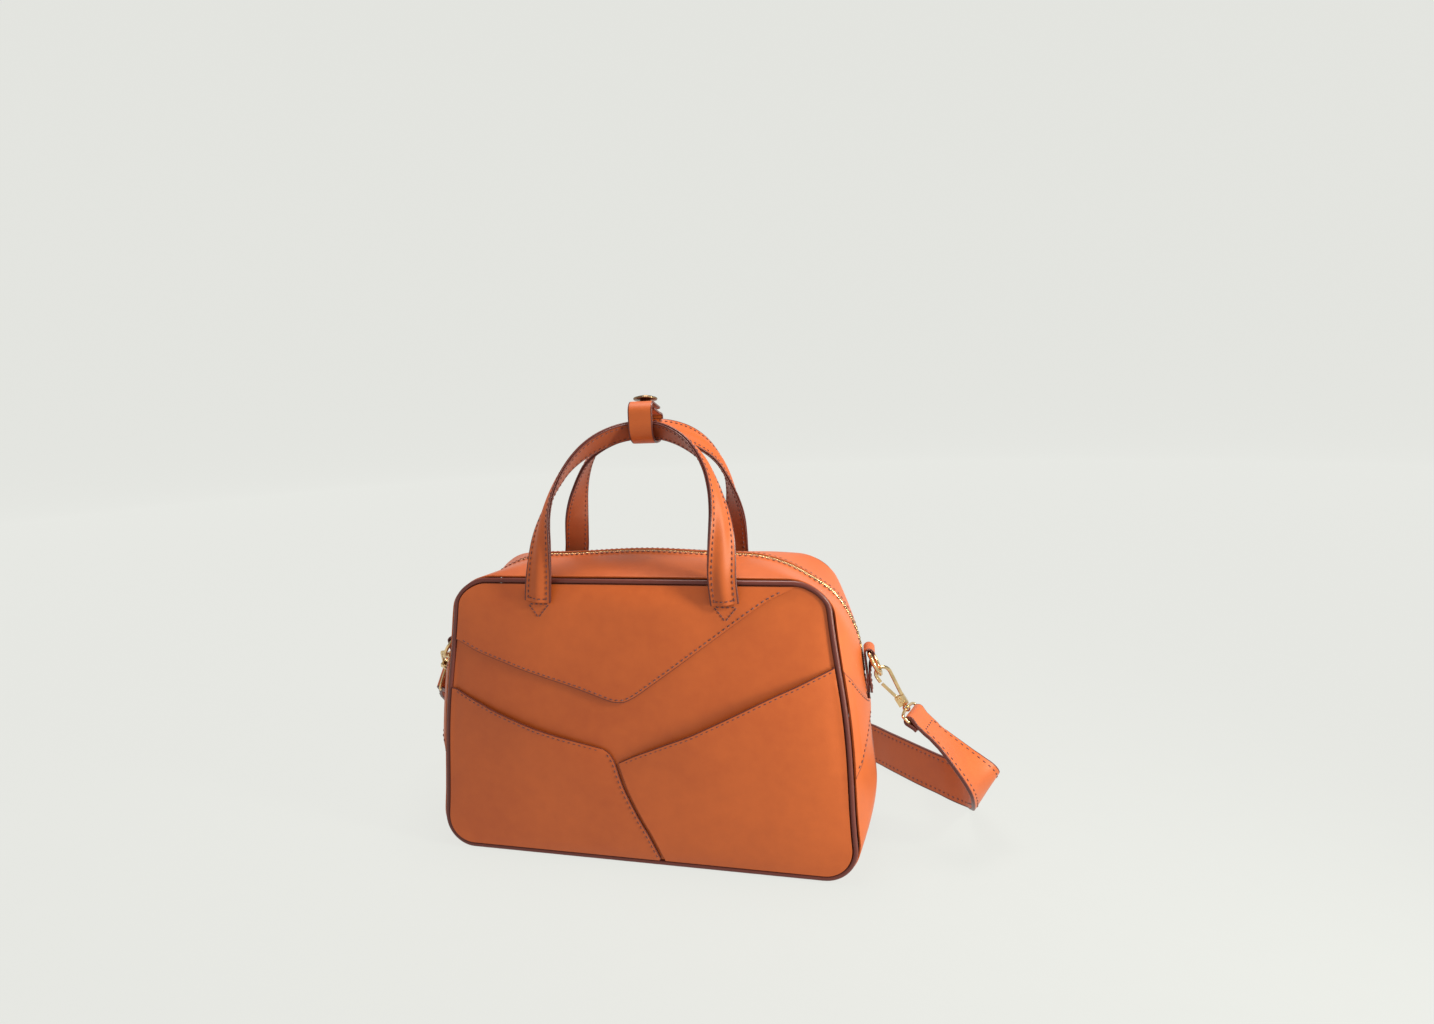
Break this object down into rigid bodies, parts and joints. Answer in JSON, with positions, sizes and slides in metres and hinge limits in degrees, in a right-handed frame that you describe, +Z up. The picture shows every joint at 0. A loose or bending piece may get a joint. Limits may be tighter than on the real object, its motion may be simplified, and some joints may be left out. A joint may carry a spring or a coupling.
{
  "type": "bowler bag",
  "caption": "Structured bowler handbag with piped panels, a zip over the top, two arched handles joined by a snap keeper, and a clip-on shoulder strap.",
  "frame": {"origin": "centre of the flat base, on the surface that the bag stands on", "axes": "+Z up, the front with its pockets faces -Y, +X to the right of someone who looks at the front"},
  "size_m": [0.466, 0.2817, 0.3477],
  "materials": {
    "body_leather": "smooth tan-orange calf with fine grain and a soft sheen",
    "handle_leather": "smooth tan leather with dark painted edges",
    "strap_leather": "smooth tan leather, two layers sewn along both edges",
    "piping_leather": "dark maroon leather rolled over cord",
    "lining_cloth": "plain woven cotton",
    "stiff_board": "plain stiff board",
    "handle_filler": "pressed felt cord",
    "zip_tape_cloth": "brown woven tape",
    "gold_metal": "polished pale gold plate",
    "bronze_metal": "antique bronze with worn edges"
  },
  "bodies": {
    "root": {"back_handle": "handle_leather", "back_handle_core": "handle_filler", "back_handle_lining": "handle_leather", "back_panel": "body_leather", "back_piping": "piping_leather", "base_board": "stiff_board", "base_gusset": "body_leather", "front_handle": "handle_leather", "front_handle_core": "handle_filler", "front_handle_lining": "handle_leather", "front_left_pocket": "body_leather", "front_middle_panel": "body_leather", "front_piping": "piping_leather", "front_right_pocket": "body_leather", "front_upper_panel": "body_leather", "inner_pocket": "lining_cloth", "keeper_band": "handle_leather", "keeper_snap_stud": "bronze_metal", "left_back_side_patch": "body_leather", "left_front_side_patch": "body_leather", "left_hook_swivel": "gold_metal", "left_strap_ring": "gold_metal", "left_tab": "handle_leather", "lining_back": "lining_cloth", "lining_front": "lining_cloth", "lining_gusset": "lining_cloth", "right_back_side_patch": "body_leather", "right_front_side_patch": "body_leather", "right_hook_swivel": "gold_metal", "right_strap_ring": "gold_metal", "right_tab": "handle_leather", "shoulder_strap": "strap_leather", "zip_chain": "gold_metal", "zip_gusset_back": "body_leather", "zip_gusset_front": "body_leather", "zip_tape_back": "zip_tape_cloth", "zip_tape_front": "zip_tape_cloth"},
    "zip_slider": {"zip_slider": "gold_metal"},
    "zip_pull": {"zip_pull": "gold_metal", "zip_pull_tab": "handle_leather"},
    "keeper_flap": {"keeper_flap": "handle_leather", "keeper_snap_cap": "bronze_metal", "keeper_snap_socket": "bronze_metal"},
    "left_d_ring": {"left_d_ring": "gold_metal"},
    "right_d_ring": {"right_d_ring": "gold_metal"},
    "left_hook": {"left_hook": "gold_metal", "left_hook_rivet": "gold_metal"},
    "right_hook": {"right_hook": "gold_metal", "right_hook_rivet": "gold_metal"},
    "left_hook_gate": {"left_hook_gate": "gold_metal"},
    "right_hook_gate": {"right_hook_gate": "gold_metal"}
  },
  "joints": [
    {"name": "zip_slider_travel", "type": "hinge", "parent": "root", "child": "zip_slider", "pos_m": [-0.07513, 0, 0.1398], "axis": [0, 1, 0], "range_deg": [-2, 52]},
    {"name": "zip_pull_swing", "type": "hinge", "parent": "zip_slider", "child": "zip_pull", "pos_m": [-0.15157, 0, 0.19136], "axis": [0, 1, 0], "range_deg": [0, 150]},
    {"name": "keeper_flap_fold", "type": "hinge", "parent": "root", "child": "keeper_flap", "pos_m": [0.0053, -0.01156, 0.34398], "axis": [1, 0, 0], "range_deg": [0, 110]},
    {"name": "right_d_ring_swing", "type": "hinge", "parent": "root", "child": "right_d_ring", "pos_m": [0.16762, 0, 0.151], "axis": [0, 1, 0], "range_deg": [-6, 1]},
    {"name": "right_hook_swivel_turn", "type": "hinge", "parent": "root", "child": "right_hook", "pos_m": [0.1919, -0.00112, 0.11089], "axis": [-0.5097, 0.04, 0.8594], "range_deg": [-12, 12]},
    {"name": "right_hook_gate_open", "type": "hinge", "parent": "right_hook", "child": "right_hook_gate", "pos_m": [0.18853, -0.00094, 0.11423], "axis": [0.0204, 0.9992, -0.0344], "range_deg": [0, 20], "stiffness_Nm_per_rad": 0.004, "springref_deg": -5.73},
    {"name": "left_d_ring_swing", "type": "hinge", "parent": "root", "child": "left_d_ring", "pos_m": [-0.16762, 0, 0.151], "axis": [0, 1, 0], "range_deg": [-3, 3]},
    {"name": "left_hook_swivel_turn", "type": "hinge", "parent": "root", "child": "left_hook", "pos_m": [-0.18862, 0.01909, 0.11919], "axis": [0.3637, -0.7073, 0.6062], "range_deg": [0, 12]},
    {"name": "left_hook_gate_open", "type": "hinge", "parent": "left_hook", "child": "left_hook_gate", "pos_m": [-0.18592, 0.01584, 0.12136], "axis": [-0.3639, -0.707, -0.6065], "range_deg": [0, 20], "stiffness_Nm_per_rad": 0.004, "springref_deg": -5.73}
  ]
}
